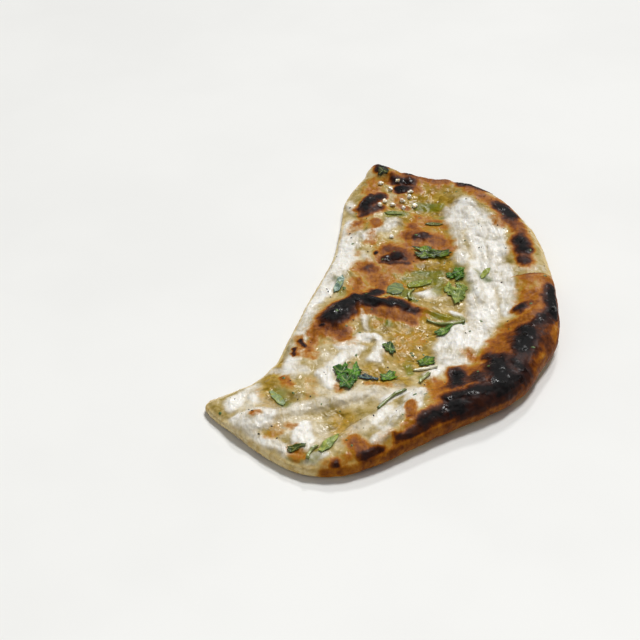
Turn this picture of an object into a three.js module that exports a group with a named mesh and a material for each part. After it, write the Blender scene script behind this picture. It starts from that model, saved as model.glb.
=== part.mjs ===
// A cheese naan: one leavened flatbread with cheese melted into its top and a thick blistered crust
// down one side, with torn coriander, coriander stems and bits of garlic lying on it.
// Millimetres, +Z up. It lies flat. The origin is the centre of its box, at the bottom.
// Places on the bread are shares of its half width (X) and half length (Y), from -1 to 1.

import * as THREE from 'three';

// The bread
const LENGTH = 237;               // along Y, from the pointed end to the broad end
const WIDTH = 158;                // along X
const BODY_THICKNESS = 6.6;       // dough and cheese away from the edges
const THIN_EDGE = 4.6;            // thickness along the thin edge
const CRUST_HEIGHT = 13.8;        // top of the puffed crust
const CRUST_WIDTH = 30;           // how far in from the edge the puffed crust reaches
const CRUST_CREST = 9;            // how far in from the edge its top lies
const THIN_EDGE_WIDTH = 16;       // how far in from the edge the thinning starts
const TOP_ROUNDING = 0.62;        // width of the rounded upper edge, as a share of its height
const UNDER_ROUNDING = 1.25;      // width of the rounded lower edge, as a share of its height
const EDGE_LEVEL = 0.42;          // height of the outermost line, as a share of the edge's thickness

// What lies on it
const REST_GAP = 0.3;             // clearance between the bread and what lies on it
const LEAF_THICKNESS = 0.7;
const STEM_DIAMETER = 1.9;
const GARLIC_LENGTH = 2.9;
const GARLIC_HEIGHT = 1.7;

// How finely the bread is made
const EDGE_POINTS = 120;
const RINGS_TO_CENTRE = 11;
const HALF = 0.5;
const FULL_TURN = Math.PI * 2;

// Every ray from here to the outline crosses it once.
const HEART = new THREE.Vector2(0.07, -0.3);

// The outline, anticlockwise from the pointed end: [across, along, puff].
// Puff is 0 where the edge is thin and 1 where the crust is fully blown up.
const OUTLINE = [
  [0.0, 1.0, 0.45],
  [-0.035, 0.965, 0.4],
  [-0.1, 0.89, 0.3],
  [-0.2, 0.74, 0.18],
  [-0.235, 0.52, 0.1],
  [-0.29, 0.29, 0.05],
  [-0.42, 0.02, 0.05],
  [-0.53, -0.22, 0.05],
  [-0.62, -0.4, 0.0],
  [-0.77, -0.53, 0.0],
  [-0.985, -0.605, 0.0],
  [-0.95, -0.665, 0.0],
  [-0.82, -0.765, 0.05],
  [-0.66, -0.885, 0.12],
  [-0.47, -0.98, 0.25],
  [-0.27, -0.998, 0.4],
  [-0.1, -0.955, 0.55],
  [0.1, -0.87, 0.7],
  [0.33, -0.765, 0.8],
  [0.58, -0.665, 1.0],
  [0.74, -0.565, 0.88],
  [0.86, -0.42, 1.0],
  [0.965, -0.27, 0.85],
  [0.995, -0.08, 0.95],
  [1.0, 0.14, 0.72],
  [0.965, 0.38, 0.85],
  [0.87, 0.6, 0.65],
  [0.73, 0.755, 0.75],
  [0.56, 0.845, 0.6],
  [0.34, 0.895, 0.5],
  [0.15, 0.945, 0.5],
  [0.04, 0.985, 0.45],
];

// Swellings and hollows of the top: [across, along, half width, half length, turn, rise],
// the half sizes and the rise in millimetres, the turn in degrees.
const SWELLINGS = [
  [0.57, 0.492, 12, 30, -8, 2.6],
  [0.6, -0.013, 10, 34, 12, 1.6],
  [0.42, -0.284, 10, 18, 38, 1.4],
  [-0.3, -0.139, 9, 12, -40, 3.2],
  [-0.08, -0.032, 13, 7, 0, 3.0],
  [0.12, -0.09, 11, 5, 12, 2.2],
  [0.08, 0.278, 7, 7, 0, 2.0],
  [0.24, 0.434, 10, 7, 0, 2.2],
  [0.18, 0.832, 12, 9, 20, 2.0],
  [-0.08, 0.686, 6, 13, 35, 2.2],
  [-0.76, -0.779, 12, 8, 25, 2.4],
  [-0.36, -0.624, 26, 4.5, 12, 1.7],
  [0.05, -0.595, 22, 5, 35, 1.8],
  [-0.45, -0.42, 8, 8, 0, 1.2],
  [-0.1, -0.479, 12, 16, 0, 0.9],
  [0.32, 0.667, 11, 14, 0, -1.3],
  [0.24, -0.207, 14, 9, 0, -1.5],
  [0.1, -0.401, 10, 8, 0, -1.4],
  [0.24, 0.123, 11, 12, 0, -1.2],
  [-0.14, 0.104, 9, 12, 0, -0.8],
  [-0.33, -0.809, 12, 8, 30, -1.2],
];

// Coriander, in groups that lie together. A group is at [across, along], and its pieces lie at
// distances from there in millimetres:
// leaf: [x, y, length, width, heading in degrees, lobes],
// stem: [x, y, length, heading in degrees, sideways bend].
const CORIANDER = [
  { at: [0.28, 0.308], leaves: [[0, 0, 21, 9, -12, 5]], stems: [] },
  { at: [0.43, 0.147], leaves: [[0, 0, 11, 9.5, 60, 3], [-0.8, -13.7, 17, 10, -82, 4]], stems: [] },
  { at: [0.6, 0.152], leaves: [[0, 0, 9, 5, 60, 2]], stems: [] },
  { at: [0.21, 0.113], leaves: [[0, 0, 13, 8, 22, 2]], stems: [[-4, -10.9, 11, 78, 1.5]] },
  { at: [0.06, 0.055], leaves: [[0, 0, 14, 9, 70, 3]], stems: [] },
  { at: [-0.265, 0.094], leaves: [[0, 0, 15, 6, 75, 2]], stems: [] },
  { at: [0.32, -0.217], leaves: [[0, 0, 13, 6.5, 42, 3]], stems: [[1.6, 7.6, 18, -8, -2.2]] },
  { at: [0.005, -0.323], leaves: [[0, 0, 11, 6, -72, 3]], stems: [] },
  { at: [0.2, -0.401], leaves: [[0, 0, 10, 8, 10, 3]], stems: [[0, -6, 11, 6, 0.4], [-0.8, -14.2, 9, 58, 0.8]] },
  {
    at: [-0.23, -0.498],
    leaves: [[0, 0, 21, 12, -100, 5], [9.1, -1.7, 9, 6.5, -20, 2], [16.8, -0.6, 10, 8, 15, 3]],
    stems: [],
  },
  { at: [0.005, -0.653], leaves: [], stems: [[0, 0, 18, 46, 1.2]] },
  { at: [-0.33, -0.886], leaves: [[0, 0, 14, 6.5, 58, 2], [-13.4, -1.8, 8, 5, 10, 2]], stems: [[-7, -5.2, 9, 62, 0.8]] },
  { at: [-0.61, -0.624], leaves: [[0, 0, 13, 5.5, -62, 2]], stems: [] },
  { at: [0.08, 0.613], leaves: [[0, 0, 9, 5, 15, 2]], stems: [] },
  { at: [0.33, 0.531], leaves: [[0, 0, 9, 4, -10, 2]], stems: [] },
  { at: [0.03, 0.89], leaves: [[0, 0, 9, 7, 100, 3]], stems: [] },
];

// Bits of garlic: [across, along, heading].
const GARLIC_BITS = [
  [0.01, 0.822, 20],
  [0.07, 0.783, 80],
  [0.12, 0.827, 140],
  [0.2, 0.764, 35],
  [0.19, 0.73, 100],
  [0.14, 0.701, 10],
  [0.08, 0.676, 60],
  [0.03, 0.691, 120],
  [0.0, 0.652, 30],
  [0.15, 0.662, 95],
  [0.22, 0.676, 150],
  [0.06, 0.429, 45],
];

const bakedDough = new THREE.MeshStandardMaterial({ color: '#d9bd8c', roughness: 0.55, metalness: 0 });
const coriander = new THREE.MeshStandardMaterial({ color: '#3c7a26', roughness: 0.45, metalness: 0 });
const corianderStem = new THREE.MeshStandardMaterial({ color: '#9aa552', roughness: 0.5, metalness: 0 });
const garlic = new THREE.MeshStandardMaterial({ color: '#e8d29a', roughness: 0.4, metalness: 0 });

function smoothStep(from, to, value) {
  const share = THREE.MathUtils.clamp((value - from) / (to - from), 0, 1);
  return share * share * (3 - 2 * share);
}

function onBread(across, along) {
  return new THREE.Vector2(across * WIDTH * HALF, along * LENGTH * HALF);
}

// Points evenly spaced along the outline's curve, stretched to fill the bread's width and length exactly.
function makeOutline() {
  const knots = OUTLINE.map(([across, along, puff]) => new THREE.Vector3(across, along, puff));
  const curve = new THREE.CatmullRomCurve3(knots, true, 'centripetal');
  curve.arcLengthDivisions = EDGE_POINTS * 10;
  const points = curve.getSpacedPoints(EDGE_POINTS).slice(0, EDGE_POINTS);
  const box = new THREE.Box3().setFromPoints(points);
  const middle = box.getCenter(new THREE.Vector3());
  const size = box.getSize(new THREE.Vector3());
  return points.map((point) => ({
    x: ((point.x - middle.x) / size.x) * WIDTH,
    y: ((point.y - middle.y) / size.y) * LENGTH,
    puff: THREE.MathUtils.clamp(point.z, 0, 1),
  }));
}

// The distance in from the outline, and the puff of the outline nearby.
function edgeAt(x, y, outline) {
  let nearest = Infinity;
  let puffSum = 0;
  let weightSum = 0;
  outline.forEach((start, i) => {
    const end = outline[(i + 1) % outline.length];
    const alongX = end.x - start.x;
    const alongY = end.y - start.y;
    const reach = ((x - start.x) * alongX + (y - start.y) * alongY) / (alongX ** 2 + alongY ** 2);
    const share = THREE.MathUtils.clamp(reach, 0, 1);
    const distance = Math.hypot(x - start.x - share * alongX, y - start.y - share * alongY);
    const weight = 1 / (distance + 1) ** 4;
    nearest = Math.min(nearest, distance);
    puffSum += weight * (start.puff + share * (end.puff - start.puff));
    weightSum += weight;
  });
  return { inset: nearest, puff: puffSum / weightSum };
}

function swellingAt(x, y) {
  return SWELLINGS.reduce((sum, [across, along, halfWidth, halfLength, turn, rise]) => {
    const centre = onBread(across, along);
    const from = new THREE.Vector2(x, y).sub(centre).rotateAround(new THREE.Vector2(), -THREE.MathUtils.degToRad(turn));
    return sum + rise * Math.exp(-((from.x / halfWidth) ** 2) - (from.y / halfLength) ** 2);
  }, 0);
}

// The bread's full thickness at a place, before its edge is rounded.
function thicknessAt(x, y, edge) {
  const crust = smoothStep(CRUST_WIDTH, CRUST_CREST, edge.inset) * edge.puff;
  const thin = smoothStep(THIN_EDGE_WIDTH, 0, edge.inset) * (1 - edge.puff);
  const swelling = swellingAt(x, y) * smoothStep(0, CRUST_CREST, edge.inset) * (1 - HALF * crust);
  return BODY_THICKNESS + (CRUST_HEIGHT - BODY_THICKNESS) * crust - (BODY_THICKNESS - THIN_EDGE) * thin + swelling;
}

function edgeLevel(puff) {
  return EDGE_LEVEL * THREE.MathUtils.lerp(THIN_EDGE, CRUST_HEIGHT, puff);
}

// A quarter of an ellipse: 0 at the outermost line, 1 where the rounding ends.
function roundedShare(inset, width) {
  const left = 1 - Math.min(inset / width, 1);
  return Math.sqrt(1 - left * left);
}

function topAt(x, y, outline) {
  const edge = edgeAt(x, y, outline);
  const level = edgeLevel(edge.puff);
  const full = thicknessAt(x, y, edge);
  return level + (full - level) * roundedShare(edge.inset, TOP_ROUNDING * full);
}

// A point in from an outline point, towards the heart of the bread, at a given distance from the edge.
function inFrom(outline, i, distance, heart) {
  const point = outline[i];
  const before = outline[(i + outline.length - 1) % outline.length];
  const after = outline[(i + 1) % outline.length];
  const edge = new THREE.Vector2(after.x - before.x, after.y - before.y).normalize();
  const inward = new THREE.Vector2(heart.x - point.x, heart.y - point.y);
  const radius = inward.length();
  inward.normalize();
  const slant = Math.max(Math.abs(inward.cross(edge)), HALF);
  return new THREE.Vector2(point.x, point.y).addScaledVector(inward, Math.min(distance / slant, radius));
}

// One closed skin: a fan at the top, rings down to the outermost line and in under it, and a flat fan below.
function makeClosedSkin(topCentre, rings, bottomCentre) {
  const count = rings[0].length;
  const points = [topCentre, ...rings.flat(), bottomCentre];
  const last = points.length - 1;
  const index = [];
  const at = (ring, i) => 1 + ring * count + (i % count);
  for (let i = 0; i < count; i += 1) {
    index.push(0, at(0, i), at(0, i + 1));
    for (let ring = 0; ring < rings.length - 1; ring += 1) {
      index.push(at(ring, i), at(ring + 1, i), at(ring + 1, i + 1));
      index.push(at(ring, i), at(ring + 1, i + 1), at(ring, i + 1));
    }
    index.push(last, at(rings.length - 1, i + 1), at(rings.length - 1, i));
  }
  const geometry = new THREE.BufferGeometry().setFromPoints(points);
  geometry.setIndex(index);
  geometry.computeVertexNormals();
  return geometry;
}

function makeBread(outline) {
  const heart = onBread(HEART.x, HEART.y);
  const topEdgeInsets = [9, 5.6, 3.2, 1.5, 0.45];
  const underShares = [0.12, 0.4, 1];
  const lift = ({ x, y }) => new THREE.Vector3(x, y, topAt(x, y, outline));
  const rings = [];
  for (let ring = 1; ring <= RINGS_TO_CENTRE; ring += 1) {
    const share = ring / (RINGS_TO_CENTRE + 1);
    rings.push(outline.map((_, i) => {
      const inner = inFrom(outline, i, topEdgeInsets[0], heart);
      return lift(heart.clone().lerp(inner, share));
    }));
  }
  topEdgeInsets.forEach((inset) => {
    rings.push(outline.map((_, i) => lift(inFrom(outline, i, inset, heart))));
  });
  rings.push(outline.map(({ x, y, puff }) => new THREE.Vector3(x, y, edgeLevel(puff))));
  underShares.forEach((share) => {
    rings.push(outline.map(({ puff }, i) => {
      const level = edgeLevel(puff);
      const width = UNDER_ROUNDING * level;
      const point = inFrom(outline, i, share * width, heart);
      return new THREE.Vector3(point.x, point.y, level * (1 - roundedShare(share * width, width)));
    }));
  });
  const geometry = makeClosedSkin(lift(heart), rings, new THREE.Vector3(heart.x, heart.y, 0));
  return new THREE.Mesh(geometry, bakedDough);
}

// Finds the height of the finished bread under a place, to lay things on it.
function makeLayer(bread) {
  const above = LENGTH;
  const down = new THREE.Vector3(0, 0, -1);
  bread.updateMatrixWorld();
  return (x, y) => {
    const hits = new THREE.Raycaster(new THREE.Vector3(x, y, above), down).intersectObject(bread);
    if (hits.length === 0) {
      throw new Error(`nothing to lie on at ${x}, ${y}`);
    }
    return hits[0].point.z;
  };
}

// A point of a piece, turned to its heading and moved to its place.
function placed(place, heading, x, y) {
  return new THREE.Vector2(x, y)
    .rotateAround(new THREE.Vector2(), THREE.MathUtils.degToRad(heading))
    .add(place);
}

// A flat lobed leaf that follows the bread below it.
function makeLeaf(place, [length, width, heading, lobes], heightAt) {
  const steps = lobes * 8;
  const ringShares = [0.55, 1];
  const lobeDepth = 0.16;
  const toothDepth = 0.05;
  const edge = Array.from({ length: steps }, (_, i) => {
    const turn = (i / steps) * FULL_TURN;
    const reach = 1 - lobeDepth - toothDepth
      + lobeDepth * Math.cos(lobes * turn)
      + toothDepth * Math.cos(3 * lobes * turn);
    return new THREE.Vector2(reach * Math.cos(turn) * length * HALF, reach * Math.sin(turn) * width * HALF);
  });
  const layer = (share, lift) => edge.map((point) => {
    const at = placed(place, heading, point.x * share, point.y * share);
    return new THREE.Vector3(at.x, at.y, heightAt(at.x, at.y) + lift);
  });
  const rings = [
    ...ringShares.map((share) => layer(share, REST_GAP + LEAF_THICKNESS)),
    ...ringShares.toReversed().map((share) => layer(share, REST_GAP)),
  ];
  const ground = heightAt(place.x, place.y);
  const top = new THREE.Vector3(place.x, place.y, ground + REST_GAP + LEAF_THICKNESS);
  const bottom = new THREE.Vector3(place.x, place.y, ground + REST_GAP);
  return new THREE.Mesh(makeClosedSkin(top, rings, bottom), coriander);
}

// A round stem that lies along the bread, bent sideways in the middle.
function makeStem(place, [length, heading, bend], heightAt) {
  const steps = 8;
  const sides = 8;
  const radius = STEM_DIAMETER * HALF;
  const centres = Array.from({ length: steps + 1 }, (_, i) => {
    const share = (i / steps) * 2 - 1;
    const at = placed(place, heading, share * length * HALF, bend * (1 - share * share));
    return new THREE.Vector3(at.x, at.y, heightAt(at.x, at.y) + REST_GAP + radius);
  });
  const side = placed(new THREE.Vector2(), heading, 0, 1);
  const rings = centres.map((centre) => Array.from({ length: sides }, (_, i) => {
    const turn = (i / sides) * FULL_TURN;
    const out = radius * Math.cos(turn);
    return new THREE.Vector3(centre.x + side.x * out, centre.y + side.y * out, centre.z - radius * Math.sin(turn));
  }));
  return new THREE.Mesh(makeClosedSkin(centres[0], rings, centres[steps]), corianderStem);
}

// A small rounded chip, a little flattened, resting on the bread.
function makeGarlicBit(place, [heading], heightAt) {
  const geometry = new THREE.IcosahedronGeometry(HALF, 1);
  geometry.scale(GARLIC_LENGTH, GARLIC_LENGTH * 0.72, GARLIC_HEIGHT);
  geometry.rotateZ(THREE.MathUtils.degToRad(heading));
  const bit = new THREE.Mesh(geometry, garlic);
  const under = Array.from({ length: 8 }, (_, i) => {
    const at = placed(place, i * 45, GARLIC_LENGTH * 0.35, 0);
    return heightAt(at.x, at.y);
  });
  bit.position.set(place.x, place.y, Math.max(...under, heightAt(place.x, place.y)) + REST_GAP + GARLIC_HEIGHT * HALF);
  return bit;
}

// Pieces of one kind, numbered in order. Each is its place and what its maker needs to know.
function addAll(group, name, pieces, make, heightAt) {
  pieces.forEach(({ place, details }, i) => {
    const mesh = make(place, details, heightAt);
    mesh.name = `${name}_${i + 1}`;
    group.add(mesh);
  });
}

// The leaves or the stems of every group, each at its place on the bread.
function coriandersOf(kind) {
  return CORIANDER.flatMap((cluster) => cluster[kind].map(([x, y, ...details]) => ({
    place: onBread(...cluster.at).add(new THREE.Vector2(x, y)),
    details,
  })));
}

const naan = new THREE.Group();
const bread = makeBread(makeOutline());
bread.name = 'naan_bread';
naan.add(bread);

const garlicBits = GARLIC_BITS.map(([across, along, heading]) => ({
  place: onBread(across, along),
  details: [heading],
}));
const heightAt = makeLayer(bread);
addAll(naan, 'coriander_leaf', coriandersOf('leaves'), makeLeaf, heightAt);
addAll(naan, 'coriander_stem', coriandersOf('stems'), makeStem, heightAt);
addAll(naan, 'garlic_bit', garlicBits, makeGarlicBit, heightAt);

export default naan;
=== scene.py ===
"""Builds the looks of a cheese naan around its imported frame: the baked bread, the coriander and garlic that
lie on it, the finer specks, and a plain stage."""

import math

import bmesh
import bpy
import numpy as np
from bpy.props import FloatProperty, FloatVectorProperty, IntProperty, PointerProperty
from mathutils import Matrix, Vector
from mathutils.bvhtree import BVHTree


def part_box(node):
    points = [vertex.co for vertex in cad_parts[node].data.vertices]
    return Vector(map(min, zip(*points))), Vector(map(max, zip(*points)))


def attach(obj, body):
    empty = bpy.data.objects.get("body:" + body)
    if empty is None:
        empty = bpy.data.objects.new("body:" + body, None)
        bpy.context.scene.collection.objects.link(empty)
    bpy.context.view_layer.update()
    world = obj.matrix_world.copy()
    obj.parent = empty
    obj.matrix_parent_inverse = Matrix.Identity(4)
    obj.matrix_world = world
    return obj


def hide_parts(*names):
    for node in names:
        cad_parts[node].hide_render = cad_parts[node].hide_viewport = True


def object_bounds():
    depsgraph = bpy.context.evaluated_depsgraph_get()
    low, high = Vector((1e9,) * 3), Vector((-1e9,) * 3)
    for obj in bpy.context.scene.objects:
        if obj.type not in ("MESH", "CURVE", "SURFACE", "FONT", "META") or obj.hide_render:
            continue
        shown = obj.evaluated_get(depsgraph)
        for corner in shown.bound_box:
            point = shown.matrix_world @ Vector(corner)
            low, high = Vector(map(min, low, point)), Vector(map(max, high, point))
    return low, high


bl_info = {
    "name": "Cheese Naan",
    "version": (1, 0, 0),
    "blender": (4, 5, 0),
    "location": "View3D > Sidebar > Naan",
    "description": "Dresses a naan's frame with crust, cheese, coriander, garlic and specks",
    "category": "Add Mesh",
}

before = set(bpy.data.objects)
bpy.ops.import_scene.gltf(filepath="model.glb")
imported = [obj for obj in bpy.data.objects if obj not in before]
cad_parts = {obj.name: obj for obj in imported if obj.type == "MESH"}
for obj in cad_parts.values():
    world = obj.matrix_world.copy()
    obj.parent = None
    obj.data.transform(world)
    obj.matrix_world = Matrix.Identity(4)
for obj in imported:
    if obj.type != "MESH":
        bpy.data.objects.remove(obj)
CAD_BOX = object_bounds()
MM = 0.001
ROOT = "root"
# The bread's width and length, in mm, that the strokes below are placed on.
PLAN_SIZE = (158.0, 237.0)
# Odd multipliers that mix whole numbers up, for x, y, z, the seed and the last stir.
MIXERS = (374761393, 668265263, 2246822519, 3266489917, 1274126177)
# The way the cheese's strings and the crust's fibres run, and how they are drawn out.
FIBRE_TURN = math.radians(24)
FIBRE_SCALE = (1.15, 0.33, 1.0)
STRING_SCALE = (1.0, 0.4, 1.0)
# The height in mm that the bread keeps free below the top of its box, for what lies on it.
GARNISH_ROOM = 0.5
# How many rings of points a leaf has, points round each ring, and its heights in mm over the bread.
LEAF_RINGS = 8
LEAF_POINTS = 84
LEAF_CLEARANCE = 0.08
LEAFLET_STEP = 0.16
# A plain leaf is one leaflet. A many-lobed one is three from one stalk, each with fewer lobes.
# Each leaflet is a place along and across, as shares of the leaf's size, a size, and a turn in degrees.
ONE_LEAFLET = ((0.0, 0.0, 1.0, 0.0),)
THREE_LEAFLETS = ((-0.12, 0.24, 0.62, 48), (-0.16, -0.24, 0.6, -52), (0.2, 0.02, 0.66, 4))
MANY_LOBES = 5
LEAFLET_LOBES = 4
# How many steps a stem has along it, and sides round it.
STEM_STEPS = 22
STEM_SIDES = 12
# The share of its half height that a bit of garlic's middle stands over the bread.
GARLIC_STAND = 0.72
# Half the floor's width in metres, and how far it lies under the bread.
FLOOR_REACH = 20.0
FLOOR_DROP = 0.0001

# Strokes on the bread's plan: (x, y) to (x, y) in mm, radius in mm, strength.
CHAR = (
    # the pointed end
    (2, 109, 3, 116, 2.6, 0.8), (15, 104, 16, 109, 2.2, 0.6), (9, 99, 17, 98, 2.7, 0.8),
    (10, 92, 13, 93, 2.5, 0.95), (-9, 76, 0, 87, 2.9, 0.88), (-8, 70, -2, 75, 2.2, 0.4),
    (-13, 63, -9, 66, 2.0, 0.3), (16, 50, 21, 51, 1.8, 0.5), (3, 32, 8, 33, 2.4, 0.8),
    (1, 29, 11, 28.5, 1.3, 0.5), (-3, 37, -3, 38, 1.0, 0.9), (-9, 24, -4, 26, 1.6, 0.35),
    # the ridge across the middle
    (-25, -18, -20, -11, 4.7, 1.0), (-18, -8, -11, -4, 3.6, 1.0), (-9, -2, -3, 4, 2.8, 0.95),
    (-8, -6, 6, -7, 2.8, 1.0), (5, -4, 8, -9, 3.0, 0.85), (8, -10, 13, -10, 1.8, 0.7),
    (-29, -24, -28.5, -24, 0.9, 1.0), (-39, -33, -37, -37, 1.1, 0.8), (-42, -38, -40, -43, 0.9, 0.7),
    # the far and right crust
    (41, 97, 54, 90, 3.0, 0.85), (60, 72, 64, 64, 3.5, 0.92), (66, 41, 67, 33, 3.5, 0.88),
    (65, 26, 67, 23, 1.8, 0.5), (76, 0, 75, -19, 3.4, 0.95), (60, -13, 62, -14, 2.0, 0.85),
    (62, -33, 59, -47, 4.8, 1.0), (66, -29, 73, -24, 2.4, 0.7),
    # the front crust
    (2, -104, 13, -97, 1.8, 0.6), (13, -94, 27, -84, 3.4, 0.8), (24, -80, 34, -76, 2.6, 0.8),
    (34, -76, 44, -72, 3.0, 0.75), (45, -72, 53, -66, 4.0, 0.8), (64, -30, 75, -20, 2.6, 0.7),
    (29, -58, 29, -69, 3.6, 0.95), (47, -54, 46, -69, 4.6, 1.0), (43, -48, 48, -52, 2.6, 0.6),
    (37, -61, 38, -73, 2.4, 0.5), (54, -55, 57, -60, 2.4, 0.6), (-12, -113, -5, -110, 1.8, 0.6),
    (-24, -117, -22, -117, 1.4, 0.7),
)
TOAST = (
    # broad places
    (18, 107, 30, 101, 8.0, 0.8), (20, 70, 27, 66, 4.0, 0.6), (15, 52, 27, 46, 7.0, 0.8),
    (4, 40, 14, 34, 6.5, 0.85), (-8, 26, -2, 12, 6.0, 0.68), (-12, 14, -12, 0, 4.4, 0.62),
    (-7, -12, 12, -16, 4.0, 0.75), (-30, -25, -20, -27, 5.0, 0.8), (-33, -28, -34, -42, 3.0, 0.6),
    (67, 6, 68, -8, 7.0, 0.5), (66, -8, 66, -24, 8.0, 0.6), (70, -24, 70, -44, 6.0, 0.9),
    (54, -34, 48, -48, 6.5, 0.72), (58, -52, 54, -62, 8.0, 1.12), (36, -66, 44, -60, 6.0, 1.0),
    (28, -84, 50, -72, 7.0, 1.25), (20, -66, 22, -80, 6.0, 0.6), (8, 84, 11, 80, 3.0, 0.5),
    (14, 44, 30, 39, 6.0, 0.6), (-6, 24, 5, 10, 6.5, 0.5), (-9, -64, -1, -66, 3.0, 0.5),
    (67, -38, 62, -58, 4.0, 0.8), (-40, -30, -38, -44, 2.4, 0.5), (14, -26, 4, -44, 8.0, 0.3),
    # the pointed end
    (22, 104, 34, 98, 6.0, 0.35), (-3, 102, -4, 90, 5.0, 0.5), (2, 100, 18, 103, 4.0, 0.55),
    (-8, 72, -1, 76, 4.0, 0.8), (-3, 60, -3, 64, 3.2, 0.72), (-4, 55, -3, 50, 3.4, 0.42),
    (-15, 58, -10, 61, 4.0, 0.38), (-7, 47, -4, 46, 2.2, 0.5), (15, 62, 17, 56, 4.4, 0.8),
    (18, 66, 28, 60, 6.0, 0.5), (17, 54, 26, 50, 6.5, 0.5), (18, 72, 24, 70, 3.4, 0.55),
    (8, 80, 15, 78, 2.2, 0.6), (27, 90, 28, 96, 3.0, 0.35), (2, 42, 10, 40, 4.6, 0.62),
    (2, 24, 11, 25, 4.4, 0.55), (0, 33, 12, 33, 4.6, 0.7), (-13, 37, -12, 38, 2.6, 0.4),
    (12, 97, 18, 92, 4.0, 0.6), (8, 84, 12, 86, 3.0, 0.5),
    # the middle
    (-11, 24, -4, 26, 4.0, 0.55), (-9, 20, -5, 8, 4.6, 0.45), (-15, 16, -16, 0, 2.4, 0.5),
    (-24, -18, -18, -10, 8.0, 0.7), (-33, -27, -19, -29, 4.2, 0.72), (-34, -32, -34, -46, 3.0, 0.5),
    (-8, -11, 12, -15, 3.8, 0.62), (5, -5, 15, -11, 4.4, 0.7), (-26, -33, -14, -35, 3.6, 0.32),
    (14, -31, 16, -33, 3.4, 0.42), (4, -28, 6, -28, 2.4, 0.4), (-1, -15, -5, -20, 3.0, 0.4),
    # the far and right crust
    (46, 89, 54, 78, 5.0, 0.62), (57, 76, 62, 60, 5.5, 0.72), (64, 58, 67, 46, 4.6, 0.85),
    (55, 62, 58, 56, 3.0, 0.5), (68, 24, 68, 16, 3.6, 0.65), (66, 31, 67, 24, 4.0, 0.8),
    (66, 9, 76, 6, 4.6, 0.64), (65, -4, 74, -6, 5.0, 0.66), (54, -26, 68, -20, 4.6, 0.7),
    (52, -32, 44, -48, 5.2, 0.7), (35, -44, 41, -50, 4.2, 0.5), (60, -16, 66, -12, 4.0, 0.8),
    # the front crust
    (20, -64, 20, -80, 4.4, 0.62), (24, -70, 26, -80, 5.0, 0.72), (34, -56, 42, -56, 5.0, 0.75),
    (9, -84, 7, -92, 2.8, 0.7), (5, -97, 12, -93, 2.6, 0.5), (-17, -105, -10, -112, 4.2, 0.76),
    (-26, -116, 0, -109, 2.6, 0.5), (52, -54, 62, -46, 5.0, 0.7),
    # spots in the cheese
    (-45, -61, -43, -66, 2.8, 0.66), (-34, -62, -34, -74, 2.6, 0.32), (-22, -66, -22, -69, 2.6, 0.42),
    (-56, -66, -54, -80, 2.8, 0.2), (-57, -87, -56, -86, 2.4, 0.55), (-51, -98, -48, -93, 3.0, 0.4),
    (-43, -92, -42, -91, 2.2, 0.5), (-20, -87, -20, -95, 5.0, 0.22), (-40, -108, -39, -111, 2.8, 0.5),
)
# Melted white cheese, and one painted highlight: the stroke from (30, -10) to (36, -15).
CHEESE_AND_HIGHLIGHT = (
    # broad thin places
    (-30, -46, -20, -56, 9.0, 0.35), (-58, -82, -32, -98, 12.0, 0.35), (-30, -76, 0, -70, 9.0, 0.35),
    (-18, -102, 0, -86, 9.0, 0.35), (-15, 62, -17, 40, 6.0, 0.9), (-34, -8, -44, -56, 5.0, 0.7),
    (-66, -92, -56, -88, 8.0, 0.9), (-18, 34, -29, 6, 6.0, 1.0),
    # the thick white side
    (36, 74, 37, 28, 4.5, 0.6), (60, 17, 75, 18, 3.0, 0.35), (38, 74, 35, 64, 5.5, 1.0),
    (50, 60, 54, 40, 5.0, 1.0), (26, -30, 24, -38, 4.0, 0.9), (39, 70, 50, 56, 8.5, 1.0),
    (42, 76, 38, 60, 6.5, 1.0), (49, 52, 50, 12, 8.0, 1.0), (46, 25, 44, -20, 7.0, 1.0),
    (57, 20, 56, -12, 5.0, 1.0), (34, -24, 27, -46, 7.0, 1.0), (43, -24, 30, -50, 6.0, 1.0),
    (55, 54, 56, 34, 4.0, 0.9), (24, -52, 18, -58, 3.5, 0.7),
    # the thin side
    (-15, 84, -13, 76, 2.6, 0.6), (-13, 56, -18, 38, 5.5, 1.0), (-8, 52, 4, 64, 4.0, 0.85),
    (2, 58, 8, 66, 3.6, 0.75), (-19, 32, -28, 8, 4.6, 1.0), (-30, 4, -35, -6, 3.6, 0.9),
    (-36, -14, -34, -25, 3.6, 0.9), (-38, -30, -42, -46, 3.4, 0.8), (-10, 38, -6, 30, 2.6, 0.5),
    # runs and pools between the chars
    (-13, -8, -11, -17, 1.8, 0.85), (-11, -17, -8, -24, 2.4, 0.6), (-6, -29, -3, -35, 2.6, 0.8),
    (-3, -35, -6, -46, 3.4, 0.8), (-14, -38, -26, -54, 4.0, 0.9), (-30, -56, -25, -65, 3.6, 0.9),
    # The middle stroke of the next line, from (30, -10) to (36, -15), is a painted highlight, not cheese.
    (17, 3, 23, 6, 4.0, 0.75), (30, -10, 36, -15, 1.8, 0.8), (20, -50, 27, -58, 3.4, 0.6),
    (-24, -30, -16, -36, 3.0, 0.4), (-20, -36, -10, -30, 4.0, 0.95),
    # the broad end
    (-48, -84, -16, -74, 5.0, 0.5), (-62, -95, -44, -107, 3.0, 0.8), (-44, -109, -36, -113, 2.6, 0.6),
    (-14, -74, -6, -71, 3.0, 0.5), (-64, -88, -52, -86, 5.0, 0.95), (-37, -92, -37, -106, 4.6, 0.95),
    (-68, -78, -60, -66, 4.0, 0.75), (-58, -76, -58, -64, 3.0, 0.7), (12, -72, -2, -98, 4.6, 0.85),
    (-2, -100, -8, -107, 3.2, 0.8), (-4, -78, 8, -71, 2.6, 0.7), (-50, -52, -38, -54, 4.0, 0.5),
    (-28, -112, -34, -114, 2.6, 0.7), (-60, -97, -52, -90, 3.6, 0.6), (14, -72, 8, -88, 3.0, 0.8),
    (-6, -94, -2, -84, 4.0, 0.7),
)
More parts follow.
